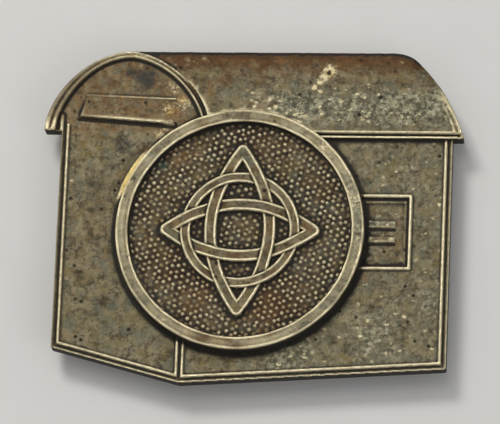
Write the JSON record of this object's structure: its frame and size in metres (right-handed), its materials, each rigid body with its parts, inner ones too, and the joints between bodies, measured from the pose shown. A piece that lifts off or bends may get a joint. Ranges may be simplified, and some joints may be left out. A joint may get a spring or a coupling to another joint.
{
  "type": "cap badge",
  "caption": "Struck metal cap badge shaped as a barrel-roofed hut, with a rimmed medallion, a strapwork emblem and a hinged needle and hook on its back.",
  "frame": {"origin": "middle of the badge's outline, on the surface that its back fittings rest on when it lies face up", "axes": "+Z out of the badge's face, +Y towards the ridge of the roof, +X along the ridge away from the gable"},
  "size_m": [0.0424, 0.0348, 0.0047],
  "materials": {
    "patinated_bronze": "dark brown patina, worn to bare brass on the raised edges",
    "brass": "dull, tarnished",
    "steel": "dull drawn wire"
  },
  "bodies": {
    "badge": {"badge_plate": "patinated_bronze", "medallion": "patinated_bronze", "emblem": "patinated_bronze", "hinge_pad": "brass", "hinge_bracket": "brass", "hinge_rivet": "steel", "catch_pad": "brass", "catch_hook": "brass"},
    "knuckle": {"needle_knuckle": "brass"},
    "pin": {"needle": "steel"}
  },
  "joints": [
    {"name": "needle_swing", "type": "hinge", "parent": "badge", "child": "knuckle", "pos_m": [-0.013, -0.0005, 0.00105], "axis": [0, 1, 0], "range_deg": [0, 170]},
    {"name": "needle_flex", "type": "hinge", "parent": "knuckle", "child": "pin", "pos_m": [-0.01234, -0.0005, 0.00105], "axis": [0, 0, -1], "range_deg": [0, 5], "stiffness_Nm_per_rad": 0.005}
  ]
}
